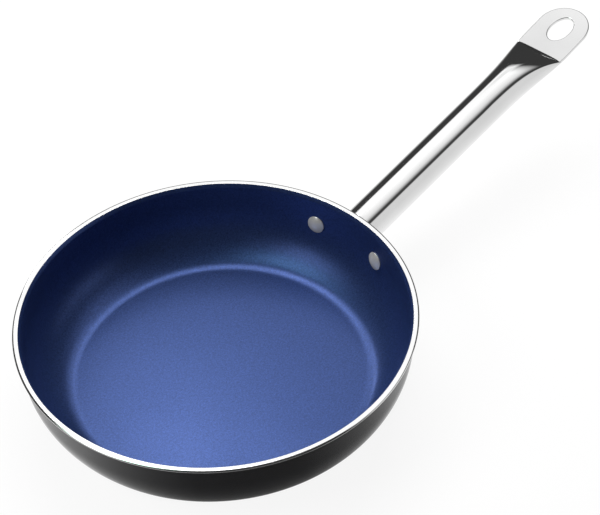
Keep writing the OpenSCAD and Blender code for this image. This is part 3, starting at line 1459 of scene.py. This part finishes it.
@dataclass(frozen=True)
class Patch:
    """Patch of light on a card: a level, the fades that bound it, and a tint."""

    light: float
    fades: tuple[Fade, ...]
    tint: Colour = (1.0, 1.0, 1.0)


@dataclass(frozen=True)
class Card:
    """Card that only reflections see. Its corners are in millimetres, and its patches add up."""

    name: str
    corners: tuple[Place, Place, Place, Place]
    patches: tuple[Patch, ...]
    dark: float = 0.0

    def build(self) -> None:
        """Makes the card as a stage object."""
        card = add_mesh(bpy.ops.mesh.primitive_plane_add, self.name, size=2.0)
        with editing(card):
            bpy.ops.mesh.subdivide(number_cuts=15)
        a, b, c, d = (Vector(p) * MM for p in self.corners)
        for vertex in card.data.vertices:
            s, t = (vertex.co.x + 1) / 2, (vertex.co.y + 1) / 2
            vertex.co = (a * (1 - s) + b * s) * (1 - t) + (d * (1 - s) + c * s) * t
        card.data.materials.append(self._light())
        show_to_gloss(card)

    def _light(self) -> Material:
        """Emission whose colour is the sum of the patches.

        Returns:
            The material.
        """
        material, wiring, emission = new_glow(self.name)
        total: object = (self.dark,) * 3
        place = wiring.add("ShaderNodeTexCoord").outputs["Object"]
        for patch in self.patches:
            light: object = tuple(patch.light * part for part in patch.tint)
            for fade in patch.fades:
                light = wiring.vector("MULTIPLY", light, fade.share(wiring, place))
            total = wiring.vector("ADD", total, light)
        wiring.feed(emission, "Color", total)
        return material


def show_to_gloss(thing: Piece) -> None:
    """Makes a stage object that only glossy rays see.

    Args:
        thing: The card or backdrop.
    """
    for ray in ("camera", "diffuse", "transmission", "volume_scatter", "shadow"):
        setattr(thing, f"visible_{ray}", False)


@dataclass(frozen=True)
class Lamp:
    """Soft lamp for plain diffuse light, which reflections don't see."""

    name: str
    place: Place
    size: Point
    power: float

    def build(self) -> None:
        """Adds the lamp, aimed at the pan."""
        data = bpy.data.lights.new(self.name, "AREA")
        data.shape = "RECTANGLE"
        data.size, data.size_y = (side * MM for side in self.size)
        data.energy = self.power
        lamp = bpy.data.objects.new(self.name, data)
        bpy.context.scene.collection.objects.link(lamp)
        lamp.location = Vector(self.place) * MM
        lamp.rotation_euler = (-lamp.location).to_track_quat("-Z", "Y").to_euler()
        lamp.visible_glossy = False


@dataclass
class Studio:
    """Camera, floor, cards and lamps."""

    cards: tuple[Card, ...]
    lamps: tuple[Lamp, ...]
    lens: float = 102.0
    sensor: float = 36.0
    yaw: float = 45.95
    pitch: float = 43.54
    roll: float = 2.81
    offset: Place = (-49.7, 33.0, 1002.6)
    target: Place = (0.0, 0.0, 53.0)
    fill: float = 0.25
    dark: float = 0.045
    room_r: float = 2.2
    room_h: float = 2.4
    floor_size: float = 8.0
    floor_drop: float = 0.1
    floor_tone: float = 0.85
    floor_roughness: float = 0.9
    floor_white: float = 0.9
    floor_glossy_white: float = 0.1

    def build(self) -> None:
        """Builds the studio round the pan."""
        scene = bpy.context.scene
        scene.view_settings.view_transform = "Standard"
        self._camera(scene)
        self._world(scene)
        self._floor()
        self._drapes()
        for thing in (*self.cards, *self.lamps):
            thing.build()
        log.info("studio: %d cards, %d lamps", len(self.cards), len(self.lamps))

    def _camera(self, scene: bpy.types.Scene) -> None:
        """Places the camera where the picture was taken from.

        Args:
            scene: The scene that gets it.
        """
        yaw, pitch, roll = (math.radians(a) for a in (self.yaw, self.pitch, self.roll))
        ahead = Vector((math.cos(pitch) * math.cos(yaw), math.cos(pitch) * math.sin(yaw), -math.sin(pitch)))
        level = ahead.cross(Vector(UP)).normalized()
        down = ahead.cross(level)
        right = level * math.cos(roll) + down * math.sin(roll)
        low = down * math.cos(roll) - level * math.sin(roll)
        turn = Matrix((right, -low, -ahead)).transposed()
        aim = Vector(self.offset)
        eye = Vector(self.target) - right * aim.x - low * aim.y - ahead * aim.z
        data = bpy.data.cameras.new("camera")
        data.lens = self.lens
        data.sensor_width = self.sensor
        camera = bpy.data.objects.new("camera", data)
        scene.collection.objects.link(camera)
        camera.matrix_world = Matrix.Translation(eye * MM) @ turn.to_4x4()
        scene.camera = camera

    def _world(self, scene: bpy.types.Scene) -> None:
        """White to the camera, to gloss and through glass, and a soft fill for the rest.

        Args:
            scene: The scene that gets it.
        """
        world = bpy.data.worlds.new("studio")
        world.use_nodes = True
        scene.world = world
        wiring = Wiring(world.node_tree)
        background = world.node_tree.nodes["Background"]
        wiring.feed(background, "Color", (1.0, 1.0, 1.0, 1.0))
        rays = wiring.add("ShaderNodeLightPath").outputs
        seen = wiring.math("MAXIMUM", rays["Is Camera Ray"], rays["Is Glossy Ray"])
        seen = wiring.math("MAXIMUM", seen, rays["Is Transmission Ray"])
        wiring.feed(background, "Strength", wiring.remap(seen, UNIT, (self.fill, 1.0)))

    def _floor(self) -> None:
        """Pale floor: nearly white to the camera, with the pan's shadow, and lit by the lamps."""
        place = (0.0, 0.0, -self.floor_drop * MM)
        floor = add_mesh(bpy.ops.mesh.primitive_plane_add, "floor", size=self.floor_size, location=place)
        material, wiring, shader = new_material("floor")
        colour = (*[self.floor_tone] * 3, 1.0)
        wiring.fill(shader, Base_Color=colour, Roughness=self.floor_roughness, Specular_IOR_Level=0.0)
        rays = wiring.add("ShaderNodeLightPath").outputs
        seen = wiring.math("MAXIMUM", rays["Is Camera Ray"], rays["Is Transmission Ray"])
        shares = (
            wiring.math("MULTIPLY", seen, self.floor_white),
            wiring.math("MULTIPLY", rays["Is Glossy Ray"], self.floor_glossy_white),
        )
        white = wiring.add("ShaderNodeEmission").outputs[0]
        mixed = wiring.add("ShaderNodeMixShader", wiring.math("ADD", *shares), shader.outputs[0], white)
        wiring.feed(material.node_tree.nodes["Material Output"], "Surface", mixed.outputs[0])
        floor.data.materials.append(material)

    def _drapes(self) -> None:
        """Dark drapes round and over the table, for the reflections."""
        form = {"vertices": 64, "radius": self.room_r, "depth": self.room_h}
        middle = (0.0, 0.0, self.room_h / 2 - MM)
        room = add_mesh(bpy.ops.mesh.primitive_cylinder_add, "drapes", **form, location=middle)
        apply_place(room)
        with editing(room):
            bpy.ops.mesh.flip_normals()
            bpy.ops.mesh.select_all(action="DESELECT")
        near_floor = 0.01
        for face in room.data.polygons:
            face.select = face.center.z < near_floor
        with editing(room, select=None):
            bpy.ops.mesh.delete(type="FACE")
        material, _, _ = new_glow("drapes", self.dark)
        material.cycles.emission_sampling = "NONE"
        room.data.materials.append(material)
        show_to_gloss(room)


def level_card(
    name: str, low: Point, high: Point, height: float, patches: tuple[Patch, ...], dark: float = 0.0
) -> Card:
    """Level card between two opposite corners at a height, in millimetres."""
    corners = ((low[0], low[1]), (high[0], low[1]), (high[0], high[1]), (low[0], high[1]))
    return Card(name, tuple((x, y, height) for x, y in corners), patches, dark)


def bearing(degrees: float) -> Place:
    """Level direction at an angle from +X."""
    return math.cos(math.radians(degrees)), math.sin(math.radians(degrees)), 0.0


def hump(start: float, full: float, fading: float, end: float) -> Stops:
    """Stops that rise from nothing to full light, stay there, and fall to nothing."""
    return ((start, 0.0), (full, 1.0), (fading, 1.0), (end, 0.0))


def pool(light: float, across: Stops, away: Stops, tint: Colour = (1.0, 1.0, 1.0)) -> Patch:
    """Patch of light that is bounded along both axes."""
    return Patch(light, (Fade(ACROSS, across), Fade(AWAY, away)), tint)


def studio() -> Studio:
    """Lays out the studio.

    Returns:
        The studio, with its cards and lamps.
    """
    far_edge = Fade(bearing(60), (
        (455, 1.0), (560, 0.97), (600, 0.88), (635, 0.57), (648, 0.45),
        (660, 0.33), (672, 0.15), (700, 0.03), (730, 0),
    ))
    near_end = Fade(AWAY, (
        (-640, 0.03), (-440, 0.0), (-380, 0.1), (-330, 0.3), (-273, 0.5), (-218, 0.67),
        (-169, 0.75), (-75, 0.87), (35, 1), (90, 1), (180, 0),
    ))
    window = Patch(1.17, (far_edge, Fade(AWAY, ((90, 0), (180, 1))), Fade(ACROSS, hump(0, 80, 530, 590))))
    strip = Patch(1.17, (far_edge, Fade(ACROSS, hump(185, 215, 450, 540)), near_end))
    over_flat_end = ((400, 0), (440, 1), (470, 1), (530, 0.4), (620, 0))
    pools = (
        pool(-0.27, over_flat_end, hump(140, 170, 280, 320)),
        pool(5.8, hump(40, 110, 200, 260), hump(140, 210, 310, 380)),
        pool(10.0, hump(140, 210, 280, 350), hump(600, 700, 900, 1050)),
        pool(3.0, hump(-350, -250, -150, -50), hump(0, 90, 240, 330), tint=(0.9, 1.3, 1.1)),
        pool(2.3, hump(-900, -700, -450, -300), hump(20, 110, 300, 450)),
    )
    overhead = level_card("overhead", (-900, -640), (1250, 1100), 500, (window, strip, *pools), dark=0.045)
    right_fades = (
        Fade(UP, ((400, 1.0), (440, 0.9), (480, 0.3), (520, 0.0))),
        Fade(ACROSS, ((285, 0.0), (335, 1.0))),
    )
    right = Card(
        "right",
        ((-100, -600, 0), (1500, -600, 0), (1500, -600, 650), (-100, -600, 650)),
        (Patch(0.76, right_fades),),
    )
    # Skirt: a sheet over the floor from y = 60 back, which only reflections see, with painted floor shade:
    # full light next to the pan, darker further back.
    skirt_painted_shade = ((60, 1.0), (85, 0.9), (130, 0.6), (180, 0.53), (300, 0.2), (430, 0.13), (2200, 0.06))
    skirt = level_card("skirt", (-2000, 60), (2000, 2200), 1, (Patch(0.9, (Fade(AWAY, skirt_painted_shade),)),))
    # Tabletop: a sheet just over the floor that only reflections see, with painted floor shade. It holds a
    # painted shadow of the pan on the camera's side, darkest towards bearing 236, and grows dimmer away
    # from the pan towards -Y.
    tabletop_painted_shade = (
        Fade(AWAY, ((-600, 0.77), (-200, 0.79), (-85, 0.84), (-50, 0.89), (-20, 0.97), (60, 1.0))),
        Fade(bearing(236), ((0.5, 1.0), (0.8, 0.5), (0.95, 0.22), (1.0, 0.2)), around=True),
    )
    tabletop = level_card("tabletop", (-400, -600), (1500, 60), 0.8, (Patch(1.0, tabletop_painted_shade),))
    return Studio(
        cards=(overhead, right, skirt, tabletop),
        lamps=(
            Lamp("key", (450, 400, 800), (900, 600), 12.0),
            Lamp("side", (-600, 250, 600), (500, 400), 4.0),
        ),
    )


def main() -> None:
    """Builds the pan, the handle and the studio."""
    logging.basicConfig(level=logging.INFO, format="%(name)s: %(message)s")
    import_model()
    effects = Effects()
    low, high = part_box("rim_band")
    section = PanSection(rim_r=-low.x / MM, pan_h=high.z / MM)
    shape = HandleShape(section)
    pan = Pan(
        section,
        lining=SprayedCoat(
            "blue_lining", (0.037, 0.068, 0.208), 0.7, 0.33,
            fine_grain=0.55, coarse_grain=1.3, coarse_share=0.35, grain_height=0.05,
            fleck=0.28, roughness_spread=0.02,
        ),
        enamel=SprayedCoat(
            "black_enamel", (0.006, 0.006, 0.007), 0.0, 0.07,
            fine_grain=2.5, coarse_grain=7.0, coarse_share=0.5, grain_height=0.02,
            fleck=0.1, roughness_spread=0.02,
        ),
        ground_steel=WorkedMetal(
            "ground_steel", (0.62, 0.61, 0.59), 1.0, 0.33,
            run=Run.ROUND, spacing=0.5, mark_height=0.02, roughness_spread=0.06,
        ),
        rim_steel=WorkedMetal(
            "rim_steel", STEEL, 1.0, 0.09,
            run=Run.ROUND, spacing=0.25, mark_height=0.001, roughness_spread=0.03,
        ),
    )
    handle = Handle(
        shape,
        polished=WorkedMetal(
            "polished_steel", STEEL, 1.0, 0.07,
            run=Run.ALONG, spacing=0.3, mark_height=0.0006, roughness_spread=0.025, lean=shape.rise,
        ),
        weld_steel=BlastedMetal(
            "weld_steel", (0.55, 0.54, 0.52), 1.0, 0.33,
            grain=0.3, grain_height=0.03, stain=(0.33, 0.25, 0.19), stain_share=0.6,
        ),
        rivet_metal=BlastedMetal(
            "rivet_metal", (0.92, 0.91, 0.87), 0.55, 0.17,
            grain=0.6, grain_height=0.004, stain=(0.6, 0.59, 0.56), stain_share=0.3,
        ),
    )
    pan.build(effects)
    handle.build(effects)
    studio().build()


if __name__ == "__main__":
    main()
